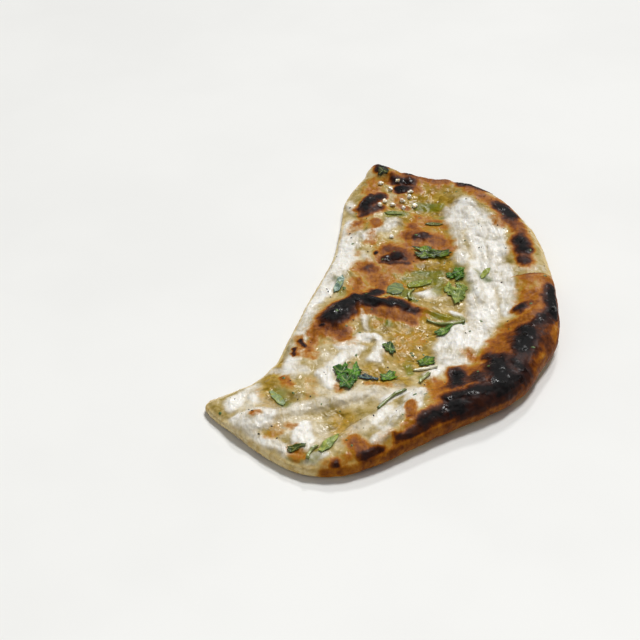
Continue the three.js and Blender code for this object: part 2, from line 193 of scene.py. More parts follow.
BUTTER = (
    (2, 20, 22, 8, 8.0, 0.75), (14, -12, 36, -17, 3.6, 0.85), (30, 26, 34, 0, 6.0, 0.4),
    (20, 100, 34, 90, 7.0, 0.5), (-8, 92, -2, 100, 4.0, 0.3), (36, -2, 24, -8, 5.0, 0.3),
    (20, 81, 28, 80, 7.0, 1.0), (17, 93, 30, 78, 8.0, 0.9), (6, 76, 20, 78, 5.0, 0.9),
    (27, 76, 28, 66, 4.0, 0.8), (4, 24, 28, 28, 9.0, 0.9), (27, 66, 30, 40, 6.0, 0.7),
    (6, -22, 12, -46, 9.0, 0.85), (14, -18, 24, -28, 7.0, 0.8), (18, -4, 34, -12, 6.0, 0.35),
    (20, 88, 28, 84, 6.0, 0.9), (16, 64, 28, 60, 8.0, 0.85), (16, 26, 27, 24, 6.0, 1.0),
    (-20, -87, -20, -97, 6.0, 0.9), (-48, -78, -52, -92, 5.0, 0.6), (-36, -98, -36, -98, 4.0, 0.4),
    (-51, -98, -49, -93, 5.0, 0.65), (-41, -107, -39, -112, 3.0, 1.0), (-8, -56, 4, -64, 6.0, 0.85),
    (-24, -30, -14, -38, 5.0, 0.35), (-3, -15, 2, -20, 3.6, 0.7), (-52, -58, -50, -80, 4.0, 0.6),
    (26, 100, 34, 92, 5.0, 0.3), (-46, -46, -48, -56, 5.0, 0.7),
)
# Green showing through the melted cheese.
HERB = (
    (19, 80, 29, 79, 3.2, 1.0), (4, 70, 14, 76, 2.6, 0.9), (12, 28, 16, 18, 2.2, 0.7),
    (22, 22, 26, 10, 2.6, 0.6), (24, 66, 31, 70, 2.2, 0.6), (0, 19, 6, 2, 4.6, 0.8),
    (11, 15, 21, 15, 4.0, 1.0), (9, 8, 13, -6, 2.8, 0.9), (29, 9, 35, 0, 3.6, 0.6),
    (8, 22, 26, 21, 4.0, 0.75), (24, 5, 25, 20, 3.6, 0.75), (-2, 22, 5, 18, 3.0, 0.8),
    (-21, 16, -20, 2, 2.6, 0.5), (15, -12, 34, -17, 2.4, 0.9), (44, 20, 48, 12, 2.6, 0.6),
    (35, 24, 39, 4, 4.0, 0.55), (-3, -15, 1, -20, 2.6, 0.8), (-48, -68, -45, -80, 3.4, 0.6),
    (-24, -103, -33, -114, 3.4, 0.5), (8, -47, 9, -57, 2.2, 0.8), (14, -60, 18, -66, 2.6, 0.6),
    (-42, -113, -37, -112, 2.6, 0.8), (14, 42, 30, 35, 3.6, 0.9), (-8, 76, -12, 70, 2.2, 0.4),
)
# The outer side of the thick crust, from the pointed end round to the front.
CRUST = (
    (22, 108, 44, 104, 12, 1.0), (44, 102, 62, 84, 13, 1.0), (62, 84, 72, 62, 12, 0.7),
    (75, 52, 80, 20, 8, 0.35), (80, 6, 80, -30, 13, 1.0), (80, -30, 62, -64, 14, 1.0),
    (62, -64, 30, -90, 13, 1.0), (30, -90, 2, -106, 10, 1.0), (2, -106, -26, -118, 7, 0.9),
)
# Ridges, pleats and seams: as strokes, with a height in mm instead of a strength.
RIDGES = (
    # pleats and bubbles at the broad end
    (-48, -85, -14, -73, 3.0, 1.0), (-14, -73, 4, -63, 2.6, 0.8), (-50, -79, -16, -67, 1.8, -0.4),
    (-28, -107, -8, -88, 1.8, 1.1), (-8, -88, 8, -74, 1.8, 1.0), (-34, -103, -14, -84, 1.5, -0.7),
    (-62, -90, -54, -86, 5.5, 1.3), (-36, -91, -38, -104, 3.2, 0.7), (-20, -86, -20, -97, 3.4, -0.7),
    (14, -70, 0, -96, 2.0, 1.1), (16, -60, 12, -80, 1.6, -0.7), (-47, -60, -40, -70, 3.0, 0.8),
    (-4, -104, 12, -90, 1.6, 0.8), (-60, -78, -50, -60, 2.6, 0.6), (-30, -62, -24, -54, 2.6, 0.7),
    # the middle
    (-24, 20, -14, -2, 1.6, 0.8), (-10, 12, -16, 22, 1.4, 0.6), (15, -9, 33, -17, 1.4, 0.7),
    (33, -17, 36, -10, 1.2, 0.6), (-30, -32, -32, -46, 1.8, -0.7), (-22, -27, -8, -34, 2.8, -0.7),
    (-12, -6, -10, -24, 1.6, 0.8), (-6, -29, -3, -36, 3.0, 0.5), (-4, -38, -6, -46, 4.0, 0.5),
    (0, 60, 12, 68, 1.8, 0.5), (17, 3, 23, 6, 3.0, 0.7), (-26, -18, -18, -9, 3.6, 0.7),
    (-8, -4, 8, -8, 2.4, 0.7),
    # the thick cheese and the crust
    (38, 84, 58, 60, 3.0, 0.8), (40, 30, 44, -4, 2.2, 0.8), (52, 40, 52, 4, 1.8, 0.7),
    (45, 44, 46, 6, 1.6, -0.7), (44, 70, 48, 50, 2.4, 0.7), (46, -24, 68, -20, 2.6, 0.8),
    (34, -26, 26, -46, 2.6, 0.8), (42, -30, 36, -50, 2.0, -0.7), (-12, 72, -4, 84, 3.0, 0.6),
    # the pointed end
    (-1, 112, 5, 106, 5.0, 2.4), (14, 105, 34, 100, 3.0, 0.6), (-6, 96, 0, 104, 3.0, 0.7),
)
# Where the far rim is folded over itself: along x, with y at each end, in mm.
SEAM = (59, 80, 11.8, 13.5)
# How each torn leaf looks: heading in degrees, lobes, ruffle of its edge, its colour and darker colour.
LEAF_LOOKS = (
    (-12, 7, 1.0, "#708C08", "#2E3E10"), (60, 5, 1.0, "#5E9208", "#2C5008"),
    (-82, 5, 0.5, "#A8B24E", "#5C701E"), (60, 2, 0.3, "#A9AE54", "#8C9638"),
    (22, 2, 0.4, "#8C9408", "#6C7410"), (70, 2, 0.3, "#848E48", "#5E7046"),
    (75, 2, 0.3, "#B8CABA", "#668070"), (42, 3, 0.8, "#7C9E30", "#3A5E16"),
    (-72, 3, 0.8, "#62821E", "#26420E"), (10, 4, 0.8, "#6A8A14", "#345010"),
    (-100, 6, 1.0, "#5A9612", "#244A0C"), (-20, 3, 0.8, "#587880", "#121E2A"),
    (15, 4, 0.8, "#6E9C14", "#385A10"), (58, 2, 0.4, "#A6AE4C", "#7C8E4C"),
    (10, 3, 0.4, "#867F22", "#3E4C1A"), (-62, 2, 0.2, "#9C9E34", "#849668"),
    (15, 2, 0.4, "#8A8C40", "#667630"), (-10, 2, 0.4, "#806E30", "#60642C"),
    (100, 3, 0.5, "#4A461C", "#1E2410"),
)
# How each stem looks: heading in degrees, sideways bend in mm, tone.
STEM_LOOKS = (
    (78, 1.5, 0.7), (-8, -2.2, 0.75), (6, 0.4, 0.0), (58, 0.8, 0.4), (46, 1.2, 0.85), (62, 0.8, 0.5),
)


def linear(code):
    """A colour from its hexadecimal code, in linear light."""
    parts = [int(code[i:i + 2], 16) / 255 for i in (1, 3, 5)]
    return tuple(((p + 0.055) / 1.055) ** 2.4 if p > 0.04045 else p / 12.92 for p in parts)


class BreadSettings(bpy.types.PropertyGroup):
    voxel: FloatProperty(name="Grain", description="Size of the surface's squares", default=0.00078,
                         min=0.0004, unit="LENGTH", subtype="DISTANCE")
    smoothing: IntProperty(name="Smoothing", description="Passes that soften the frame's facets",
                           default=10, min=0)
    bubbles: FloatProperty(name="Bubbles", description="Height of the baked bubbles", default=0.0008,
                           unit="LENGTH", subtype="DISTANCE")
    blister: FloatProperty(name="Blisters", description="Height of the rough charred blisters",
                           default=0.00055, unit="LENGTH", subtype="DISTANCE")
    melt: FloatProperty(name="Melted cheese", description="Height of the thick cheese", default=0.0011,
                        unit="LENGTH", subtype="DISTANCE")
    dough: FloatVectorProperty(name="Dough", description="Colour of the pale dough", size=3, subtype="COLOR",
                               default=linear("#E3CE98"))
    cheese: FloatVectorProperty(name="Cheese", description="Colour of the thick cheese", size=3,
                                subtype="COLOR", default=linear("#F3F0E8"))
    butter: FloatVectorProperty(name="Butter", description="Colour of the buttery hollows", size=3,
                                subtype="COLOR", default=linear("#9C7A14"))
    char: FloatVectorProperty(name="Char", description="Colour of the blackened blisters", size=3,
                              subtype="COLOR", default=linear("#110B0B"))


class GarnishSettings(bpy.types.PropertyGroup):
    leaf_thickness: FloatProperty(name="Leaf thickness", description="Thickness of a leaf", default=0.00028,
                                  unit="LENGTH", subtype="DISTANCE")
    leaf_lift: FloatProperty(name="Leaf lift", description="How far a leaf's edge stands up", default=0.0006,
                             unit="LENGTH", subtype="DISTANCE")
    stem_width: FloatProperty(name="Stem width", description="Width of a stem", default=0.0018,
                              unit="LENGTH", subtype="DISTANCE")
    garlic_roughness: FloatProperty(name="Garlic lumps", description="How lumpy a bit of garlic is",
                                    default=0.7, min=0, max=1, subtype="FACTOR")


class SpeckSettings(bpy.types.PropertyGroup):
    pepper_count: FloatProperty(name="Pepper", description="Pepper specks in a square metre of bread",
                                default=5200, min=0)
    pepper_size: FloatProperty(name="Pepper size", description="Length of the largest speck", default=0.0011,
                               unit="LENGTH", subtype="DISTANCE")
    fleck_count: FloatProperty(name="Herb flecks",
                               description="Chopped herb flecks in a square metre of bread",
                               default=2600, min=0)
    fleck_size: FloatProperty(name="Fleck size", description="Length of the largest fleck", default=0.0022,
                              unit="LENGTH", subtype="DISTANCE")
    seed: IntProperty(name="Seed", description="Changes where the specks fall", default=7)


class StageSettings(bpy.types.PropertyGroup):
    distance: FloatProperty(name="Distance", description="From the camera to its aim", default=0.75,
                            unit="LENGTH", subtype="DISTANCE")
    elevation: FloatProperty(name="Elevation", description="The camera's height above the table, as an angle",
                             default=math.radians(36), unit="ROTATION", subtype="ANGLE")
    lens: FloatProperty(name="Lens", description="Focal length in millimetres", default=91.8, min=10)
    aim: FloatVectorProperty(name="Aim", description="Where the camera looks", size=3, subtype="TRANSLATION",
                             unit="LENGTH", default=(-0.030, -0.0079, 0.0))
    key: FloatProperty(name="Key light", description="Strength of the soft sun high behind", default=2.12)
    glint: FloatProperty(name="Glint light", description="Strength of the small sun low behind", default=0.85)
    fill: FloatProperty(name="Fill light", description="Power of the panel in front", default=1.5,
                        unit="POWER")
    sky: FloatProperty(name="Sky", description="Strength of the even light from all round", default=0.2)
    floor: FloatVectorProperty(name="Floor", description="Colour of the floor", size=3, subtype="COLOR",
                               default=linear("#EDEDEA"))


# Noise and strokes, on arrays of points in mm.


def hashed(cells, seed):
    """A number from -1 to 1 for each whole-number cell."""
    x, y, z = (cells[..., i].astype(np.uint32) * np.uint32(MIXERS[i]) for i in range(3))
    mixed = x + y + z + np.uint32(seed * MIXERS[3] % 2 ** 32)
    mixed = (mixed ^ (mixed >> np.uint32(13))) * np.uint32(MIXERS[4])
    mixed = (mixed ^ (mixed >> np.uint32(16))) * np.uint32(MIXERS[2])
    return (mixed ^ (mixed >> np.uint32(15))).astype(np.float64) / 2 ** 31 - 1.0


def noise(points, size, seed):
    """Smooth noise from -1 to 1 with features about size across."""
    scaled = points / size + 1000.0
    cell = np.floor(scaled).astype(np.int64)
    part = scaled - cell
    part = part * part * part * (part * (part * 6 - 15) + 10)
    total = np.zeros(len(points))
    for corner in range(8):
        offset = np.array([corner & 1, corner >> 1 & 1, corner >> 2])
        weight = np.prod(np.where(offset, part, 1 - part), axis=1)
        total += weight * hashed(cell + offset, seed)
    return total


def layered(points, size, seed, layers=3):
    """Noise in several layers, each half the size and half the strength of the last."""
    total = sum(noise(points, size / 2 ** i, seed + i) / 2 ** i for i in range(layers))
    return total / (2 - 0.5 ** (layers - 1))


def smooth(low, high, values):
    """A soft step from 0 at low to 1 at high, or the other way when low is the greater."""
    share = np.clip((values - low) / (high - low), 0, 1)
    return share * share * (3 - 2 * share)


def painted(plan, strokes, inner=0.3, outer=1.5):
    """The strongest stroke at each point of the plan, signed, so that hollows and heights both show.

    A stroke is full strength within the inner share of its radius, and gone at the outer share."""
    stretch = np.array([CAD_BOX[1][i] - CAD_BOX[0][i] for i in (0, 1)]) / MM / np.array(PLAN_SIZE)
    result = np.zeros(len(plan))
    for x0, y0, x1, y1, radius, strength in strokes:
        start = np.array([x0, y0]) * stretch
        along = np.array([x1, y1]) * stretch - start
        length = max(float(along @ along), 1e-9)
        share = np.clip((plan - start) @ along / length, 0, 1)
        distance = np.linalg.norm(plan - start - share[:, None] * along, axis=1)
        value = strength * smooth(outer * radius, inner * radius, distance)
        result = np.where(np.abs(value) > np.abs(result), value, result)
    return result


def warped(points, size, amount, seed):
    """The plan of the points, pushed about so that strokes on it get uneven edges."""
    shift = np.stack([layered(points, size, seed), layered(points, size, seed + 50)], axis=1)
    return points[:, :2] + amount * shift


# Meshes.


def coordinates(mesh):
    values = np.empty(len(mesh.vertices) * 3)
    mesh.vertices.foreach_get("co", values)
    return values.reshape(-1, 3)


def set_coordinates(mesh, points):
    mesh.vertices.foreach_set("co", points.astype(np.float32).ravel())
    mesh.update()


def vertex_normals(mesh):
    values = np.empty(len(mesh.vertices) * 3)
    mesh.vertex_normals.foreach_get("vector", values)
    return values.reshape(-1, 3)


def write_mask(mesh, name, values):
    attribute = mesh.attributes.new(name, "FLOAT", "POINT")
    attribute.data.foreach_set("value", values.astype(np.float32))


def write_colour(mesh, name, colours):
    attribute = mesh.attributes.new(name, "FLOAT_COLOR", "POINT")
    full = np.concatenate([colours, np.ones((len(colours), 1))], axis=1)
    attribute.data.foreach_set("color", full.astype(np.float32).ravel())


def add_object(name, mesh, material):
    made = bpy.data.objects.new(name, mesh)
    bpy.context.scene.collection.objects.link(made)
    mesh.materials.clear()
    mesh.materials.append(material)
    mesh.polygons.foreach_set("use_smooth", [True] * len(mesh.polygons))
    return made


def applied(source, name):
    """A plain mesh of an object with its modifiers applied. The object is removed."""
    evaluated = source.evaluated_get(bpy.context.evaluated_depsgraph_get())
    mesh = bpy.data.meshes.new_from_object(evaluated)
    mesh.name = name
    bpy.data.objects.remove(source)
    return mesh


def dense_copy(node, settings):
    """An evenly grained copy of a frame node, with its facets softened."""
    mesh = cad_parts[node].data.copy()
    work = bmesh.new()
    work.from_mesh(mesh)
    bmesh.ops.remove_doubles(work, verts=work.verts, dist=1e-7)
    work.to_mesh(mesh)
    work.free()
    copy = bpy.data.objects.new("dense", mesh)
    bpy.context.scene.collection.objects.link(copy)
    remesh = copy.modifiers.new("grain", "REMESH")
    remesh.mode = "VOXEL"
    remesh.voxel_size = settings.voxel
    soften = copy.modifiers.new("soften", "SMOOTH")
    soften.factor = 0.5
    soften.iterations = settings.smoothing
    return applied(copy, node + "_dense")


def closed_disc(name, rings, middle, thickness):
    """A thin closed disc with its top through rings of points in mm, from the innermost out."""
    count, around = rings.shape[:2]
    top = np.concatenate([[middle], rings.reshape(-1, 3)])
    size = len(top)
    points = np.concatenate([top, top - (0, 0, thickness)]) * MM
    at = 1 + np.arange(count * around).reshape(count, around)
    faces = []
    for k in range(around):
        after = (k + 1) % around
        upper = [[0, at[0, k], at[0, after]]]
        upper += [[at[i, k], at[i + 1, k], at[i + 1, after], at[i, after]] for i in range(count - 1)]
        faces += upper
        faces += [[size + v for v in reversed(face)] for face in upper]
        faces.append([at[-1, after], at[-1, k], size + at[-1, k], size + at[-1, after]])
    mesh = bpy.data.meshes.new(name)
    mesh.from_pydata(points.tolist(), [], [[int(v) for v in face] for face in faces])
    return mesh


def joined(meshes):
    """One mesh from several, with their masks."""
    work = bmesh.new()
    for mesh in meshes:
        work.from_mesh(mesh)
    whole = meshes[0]
    work.to_mesh(whole)
    work.free()
    return whole


# Materials.


def opaque(colour):
    """A colour with full cover, from three parts in linear light or from its code."""
    return (*(linear(colour) if isinstance(colour, str) else colour), 1)


def grey(value):
    """A roughness as a colour, so that it can be mixed and ramped."""
    return (value,) * 3


class Graph:
    """A short way to write a material's nodes. Sizes are in metres."""

    def __init__(self, name):
        self.material = bpy.data.materials.new(name)
        self.material.use_nodes = True
        self.tree = self.material.node_tree
        self.shader = next(n for n in self.tree.nodes if n.type == "BSDF_PRINCIPLED")
        self.place = self.tree.nodes.new("ShaderNodeTexCoord").outputs["Object"]

    def put(self, socket, value):
        """Links a node's output to a socket, or sets the socket to a number, a colour or its code."""
        if isinstance(value, bpy.types.NodeSocket):
            self.tree.links.new(value, socket)
        elif socket.type == "RGBA":
            socket.default_value = opaque(value)
        else:
            socket.default_value = value

    def mask(self, name, output="Fac"):
        """A mask that the mesh carries, as a number or, from its Color output, as a colour."""
        node = self.tree.nodes.new("ShaderNodeAttribute")
        node.attribute_name = name
        return node.outputs[output]

    def stretched(self, scale, turn=0.0):
        node = self.tree.nodes.new("ShaderNodeMapping")
        self.put(node.inputs["Vector"], self.place)
        node.inputs["Scale"].default_value = scale
        node.inputs["Rotation"].default_value = (0, 0, turn)
        return node.outputs["Vector"]

    def noise(self, size, detail=4.0, rough=0.55, bend=0.0, place=None):
        node = self.tree.nodes.new("ShaderNodeTexNoise")
        self.put(node.inputs["Vector"], place or self.place)
        node.inputs["Scale"].default_value = 1 / size
        node.inputs["Detail"].default_value = detail
        node.inputs["Roughness"].default_value = rough
        node.inputs["Distortion"].default_value = bend
        return node.outputs["Fac"]

    def math(self, operation, a, b=0.0, c=0.0):
        node = self.tree.nodes.new("ShaderNodeMath")
        node.operation = operation
        for socket, value in zip(node.inputs, (a, b, c)):
            self.put(socket, value)
        return node.outputs[0]

    def step(self, value, low, high, to_low=0.0, to_high=1.0):
        node = self.tree.nodes.new("ShaderNodeMapRange")
        node.interpolation_type = "SMOOTHSTEP"
        for socket, given in zip(node.inputs, (value, low, high, to_low, to_high)):
            self.put(socket, given)
        return node.outputs["Result"]

    def mix(self, share, a, b):
        """Colour a turned into colour b by a share. Its colour sockets come after those for numbers."""
        node = self.tree.nodes.new("ShaderNodeMix")
        node.data_type = "RGBA"
        self.put(node.inputs["Factor"], share)
        self.put(node.inputs[6], a)
        self.put(node.inputs[7], b)
        return node.outputs[2]

    def ramp(self, share, *stops):
        node = self.tree.nodes.new("ShaderNodeValToRGB")
        self.put(node.inputs["Fac"], share)
        elements = node.color_ramp.elements
        while len(elements) < len(stops):
            elements.new(0.5)
        for element, (position, colour) in zip(elements, stops):
            element.position = position
            element.color = opaque(colour)
        return node.outputs["Color"]

    def broken(self, mask, fuzz, amount, low, high):
        """A soft mask turned into a patch with an uneven edge."""
        uneven = self.math("MULTIPLY_ADD", self.math("SUBTRACT", fuzz, 0.5), amount, mask)
        return self.step(uneven, low, high)

    def bump(self, height, strength, distance):
        node = self.tree.nodes.new("ShaderNodeBump")
        node.inputs["Strength"].default_value = strength
        node.inputs["Distance"].default_value = distance
        self.put(node.inputs["Height"], height)
        return node.outputs["Normal"]

    def finish(self, colour, roughness, normal, **plain):
        """The material, with these on its shader, and with plain values on its other sockets."""
        self.put(self.shader.inputs["Base Color"], colour)
        self.put(self.shader.inputs["Roughness"], roughness)
        if normal is not None:
            self.put(self.shader.inputs["Normal"], normal)
        for name, value in plain.items():
            self.shader.inputs[name.replace("_", " ")].default_value = value
        return self.material


def baked_dough(settings):
    """Dough, melted cheese with one painted highlight, butter, toast and char, each where its mask says."""
    g = Graph("baked_dough")
    coarse = g.noise(0.011, 5)
    medium = g.noise(0.0042, 6, 0.62, 0.6)
    fine = g.noise(0.0013, 5, 0.6)
    fibres = g.noise(0.0034, 5, 0.58, 0.9, g.stretched(FIBRE_SCALE, FIBRE_TURN))
    both = g.math("MULTIPLY_ADD", medium, 0.75, g.math("MULTIPLY", fine, 0.25))

    cloudy = g.math("MULTIPLY_ADD", coarse, 0.6, g.math("MULTIPLY", medium, 0.4))
    colour = g.ramp(cloudy, (0.36, "#806C2C"), (0.44, "#9E8845"), (0.52, "#B8A26C"), (0.64, "#D4C498"))

    butter = g.broken(g.mask("butter"), coarse, 0.5, 0.05, 0.62)
    butter_tone = g.ramp(medium, (0.36, "#7C620A"), (0.5, settings.butter), (0.66, "#BC9A38"))
    colour = g.mix(g.math("MULTIPLY", butter, 0.92), colour, butter_tone)

    ragged = g.math("MULTIPLY_ADD", fibres, 0.4, g.math("MULTIPLY", coarse, 0.6))
    # White cheese, and the one painted highlight that the cheese mask carries.
    white = g.broken(g.mask("cheese"), ragged, 1.0, 0.05, 0.9)
    white_tone = g.ramp(ragged, (0.36, "#C0B596"), (0.45, "#DFD9CC"), (0.54, settings.cheese))
    colour = g.mix(white, colour, white_tone)

    herb = g.broken(g.mask("herb"), medium, 0.7, 0.1, 0.72)
    green_tone = g.ramp(coarse, (0.4, "#5A6C2C"), (0.52, "#73740E"), (0.62, "#8A8200"))
    colour = g.mix(g.math("MULTIPLY", herb, 0.82), colour, green_tone)

    edge_tone = g.ramp(medium, (0.38, "#CBAA66"), (0.55, settings.dough))
    colour = g.mix(g.math("MULTIPLY", g.mask("side"), 0.85), colour, edge_tone)

    bake = g.math("MULTIPLY_ADD", g.math("SUBTRACT", both, 0.5), 0.55, g.mask("bake"))
    bake = g.math("MULTIPLY_ADD", g.math("SUBTRACT", fibres, 0.5), 0.3, bake)
    bake_tone = g.ramp(bake, (0.06, "#CBB06A"), (0.19, "#B8851C"), (0.34, "#A66408"), (0.49, "#743902"),
                       (0.62, "#411B04"), (0.75, "#30150E"), (0.88, settings.char), (1.0, "#080707"))
    colour = g.mix(g.step(bake, 0.02, 0.36), colour, bake_tone)

    under = g.mask("under")
    under_tone = g.ramp(g.noise(0.019, 5, 0.5, 0.2), (0.38, "#DDC797"), (0.5, "#CDAC72"), (0.6, "#A0662E"),
                        (0.7, "#573018"))
    colour = g.mix(under, colour, under_tone)

    gloss = g.ramp(g.noise(0.006, 3), (0.35, grey(0.13)), (0.65, grey(0.4)))
    burnt = g.step(g.mask("char"), 0.2, 0.7)
    baked = g.math("MULTIPLY", g.step(g.mask("bake"), 0.15, 0.45), g.math("SUBTRACT", 1.0, burnt))
    dull = g.mix(g.math("MULTIPLY", baked, 0.62), gloss, grey(0.75))
    wet_char = g.ramp(g.noise(0.0045, 2), (0.38, grey(0.2)), (0.46, grey(0.8)))
    dull = g.mix(g.math("MULTIPLY", burnt, 0.9), dull, wet_char)
    dull = g.mix(under, dull, grey(0.75))

    blisters = g.noise(0.0034, 1.5, 0.4, 0.6)
    swells = g.noise(0.0052, 1.5, 0.4, 0.5)
    strings = g.noise(0.003, 1.5, 0.4, 0.8, g.stretched(STRING_SCALE, FIBRE_TURN))
    height = g.math("MULTIPLY_ADD", g.noise(0.0019, 1, 0.4), 0.22, swells)
    height = g.math("MULTIPLY_ADD", g.math("MULTIPLY", burnt, blisters), 0.5, height)
    height = g.math("MULTIPLY_ADD", g.math("MULTIPLY", white, strings), 0.6, height)
    normal = g.bump(height, 0.9, 0.0013)
    return g.finish(colour, dull, normal, Subsurface_Weight=0.18, Subsurface_Radius=(0.75, 0.62, 0.45),
                    Subsurface_Scale=0.0024, Specular_IOR_Level=0.14)


def leaf_green():
    """Coriander leaf: each leaf's own two colours, with paler veins out to its lobes."""
    g = Graph("coriander_leaf")
    tint, shade = g.mask("tint", "Color"), g.mask("shade", "Color")
    out, lobe = g.mask("out"), g.mask("lobe")
    mottle = g.noise(0.0024, 5, 0.62, 0.5)
    colour = g.mix(g.step(mottle, 0.62, 0.45), tint, shade)
    vein = g.step(g.math("MULTIPLY", lobe, g.math("ADD", out, 0.15)), 0.16, 0.04)
    vein = g.math("MULTIPLY", vein, g.step(out, 1.0, 0.5))
    colour = g.mix(g.math("MULTIPLY", vein, 0.5), colour, "#A9B870")
    height = g.math("MULTIPLY_ADD", vein, -0.6, mottle)
    return g.finish(colour, 0.48, g.bump(height, 0.7, 0.0006), Subsurface_Weight=0.08,
                    Subsurface_Radius=(0.4, 0.8, 0.2), Subsurface_Scale=0.001, Specular_IOR_Level=0.22,
                    Coat_Weight=0.08, Coat_Roughness=0.12)


def stem_green():
    """Coriander stem, cream to olive by its tone, with fine ribs along it."""
    g = Graph("coriander_stem")
    base = g.ramp(g.mask("tone"), (0.0, "#F4EFD4"), (0.4, "#A9B276"), (0.7, "#8C9447"), (1.0, "#5C6B2A"))
    shade = g.noise(0.002, 4, 0.6)
    colour = g.mix(g.step(shade, 0.5, 0.32, 0.0, 0.6), base, "#3F4A1E")
    ribs = g.math("SINE", g.math("MULTIPLY", g.mask("across"), 30.0))
    normal = g.bump(g.math("MULTIPLY_ADD", ribs, 0.3, shade), 0.5, 0.0003)
    return g.finish(colour, 0.36, normal, Coat_Weight=0.3, Coat_Roughness=0.15)


def toasted_garlic():
    """Garlic, cream, golden in patches."""
    g = Graph("toasted_garlic")
    shade = g.noise(0.0018, 5, 0.6)
    colour = g.ramp(shade, (0.34, "#D9B26A"), (0.44, "#FAECC8"), (0.54, "#FFFCF0"))
    return g.finish(colour, 0.3, g.bump(g.noise(0.0007, 4), 0.5, 0.0003), Subsurface_Weight=0.15,
                    Subsurface_Radius=(0.8, 0.6, 0.3), Subsurface_Scale=0.001, Coat_Weight=0.4,
                    Coat_Roughness=0.12)


def speck(name, dark, light):
    """A small rough speck of two close colours."""
    g = Graph(name)
    shade = g.noise(0.0006, 3)
    colour = g.ramp(shade, (0.4, dark), (0.65, light))
    return g.finish(colour, 0.45, g.bump(shade, 0.5, 0.0002))


# The pieces.


def shape_bread(mesh, settings):
    """Bakes bubbles, blisters, ridges and melted cheese into the dense copy, and writes its masks."""
    points = coordinates(mesh) / MM
    normals = vertex_normals(mesh)
    upward = normals[:, 2]
    up = smooth(-0.25, 0.35, upward)
    side = smooth(0.82, 0.35, upward)
    rim = smooth(0.93, 0.6, upward)
    under = smooth(-0.45, -0.8, upward)
    top = smooth(0.2, 0.7, upward)

    # Where each finish lies.
    frayed = np.stack([noise(points, 2.2, 31), noise(points, 2.2, 32)], 1)
    rough_plan = warped(points, 7.0, 2.2, 11) + 0.8 * frayed
    calm_plan = warped(points, 12.0, 1.6, 21)
    herb = painted(calm_plan, HERB, 0.1, 1.6) * up
    crust = painted(calm_plan, CRUST, 0.4, 1.3)
    char = painted(rough_plan, CHAR, 0.05, 1.85) * up * (1 - 0.85 * crust * smooth(0.3, 0.8, side))
    halo = painted(calm_plan, CHAR, 0.2, 2.6) * up
    toast = painted(rough_plan, TOAST, 0.2, 1.75) * up
    # The cheese mask also carries one painted highlight, from its stroke at (30, -10) to (36, -15).
    cheese = painted(warped(points, 8.0, 2.4, 41), CHEESE_AND_HIGHLIGHT, 0.2, 1.5) * up * (1 - smooth(0.3, 0.8, char))
    butter = painted(calm_plan, BUTTER, 0.1, 1.6) * up
    bake = np.maximum(0.6 * toast, 0.56 * halo)
    bake = np.maximum(bake, crust * (0.44 * side + 0.2 * (1 - side)))

    # The folded rim: past is how far beyond the fold's edge a point lies.
    start, end, y_start, y_end = SEAM
    past = points[:, 1] - (y_start + (points[:, 0] - start) / (end - start) * (y_end - y_start))
    past += 0.5 * noise(points, 5.0, 171)
    at_seam = smooth(start - 2, start + 3, points[:, 0]) * smooth(end + 1, end - 5, points[:, 0])
    marked = at_seam * (1 - 0.8 * smooth(0.5, 1.0, side))
    bake *= 1 - 0.7 * marked * smooth(-0.3, 0.3, past) * smooth(9, 2, past)
    bake = np.maximum(bake, 0.5 * marked * smooth(0.4, -0.2, past) * smooth(-2.2, -0.8, past))
    bake = bake + (1 - bake) * char

    # How far the surface stands out, in mm.
    bubbles, blister, melt = (value / MM for value in (settings.bubbles, settings.blister, settings.melt))
    rise = painted(warped(points, 9.0, 1.0, 61), RIDGES) * top
    rise += top * bubbles * (0.8 * layered(points, 13.0, 71) + 0.5 * layered(points, 5.0, 81))
    rise += blister * char * (0.6 + 0.8 * layered(points, 3.4, 91))
    rise += 0.5 * blister * toast * (0.4 + layered(points, 3.6, 101))
    rise += melt * cheese * (0.5 + 0.45 * layered(points, 6.0, 111) + 0.2 * noise(points, 2.0, 121))
    rise -= 0.45 * melt * butter
    rise += at_seam * top * smooth(0.35, -0.35, past) * smooth(-16, -3, past)
    rise += crust * side * 0.45 * layered(points, 6.0, 131)
    rise += (1 - under) * 0.1 * layered(points, 1.8, 141)
    rise += 0.5 * smooth(0.2, 0.9, side) * (1 - under)
    moved = points + normals * rise[:, None]
    hollow = 1.1 * np.clip(layered(points, 15.0, 151) - 0.1, 0, 1)
    hollow += 0.25 * np.clip(noise(points, 3.0, 161), 0, 1)
    moved[:, 2] += under * hollow * smooth(0.0, 1.0, under)
    low, high = (np.array(corner) / MM for corner in CAD_BOX)
    moved = np.clip(moved, low, high - (0, 0, GARNISH_ROOM))
    set_coordinates(mesh, moved * MM)
    masks = {"bake": bake, "char": char, "cheese": cheese, "butter": butter, "herb": herb, "side": rim,
             "under": under}
    for name, values in masks.items():
        write_mask(mesh, name, values)


class NAAN_OT_bread(bpy.types.Operator):
    """Make the baked bread over its frame node"""
    bl_idname = "naan.bread"
    bl_label = "Bake the bread"

    def execute(self, context):
        settings = context.scene.naan_bread
        mesh = dense_copy("naan_bread", settings)
        shape_bread(mesh, settings)
        bread = add_object("baked_naan", mesh, baked_dough(settings))
        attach(bread, ROOT)
        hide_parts("naan_bread")
        return {"FINISHED"}


def bread_surface():
    """A function that gives the height in mm of the finished bread at a place on its plan."""
    bread = bpy.data.objects["baked_naan"]
    tree = BVHTree.FromObject(bread, bpy.context.evaluated_depsgraph_get())
    above = CAD_BOX[1][2] + 50 * MM

    def height(x, y):
        hit, _, _, _ = tree.ray_cast(Vector((x * MM, y * MM, above)), Vector((0, 0, -1)))
        if hit is None:
            raise RuntimeError(f"there is no bread under {x:.1f}, {y:.1f}")
        return hit.z / MM

    return height


def numbered(kind):
    """The frame's nodes of a kind, in the order of their numbers."""
    names = [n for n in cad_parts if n.startswith(kind)]
    return sorted(names, key=lambda n: int(n.rsplit("_", 1)[1]))


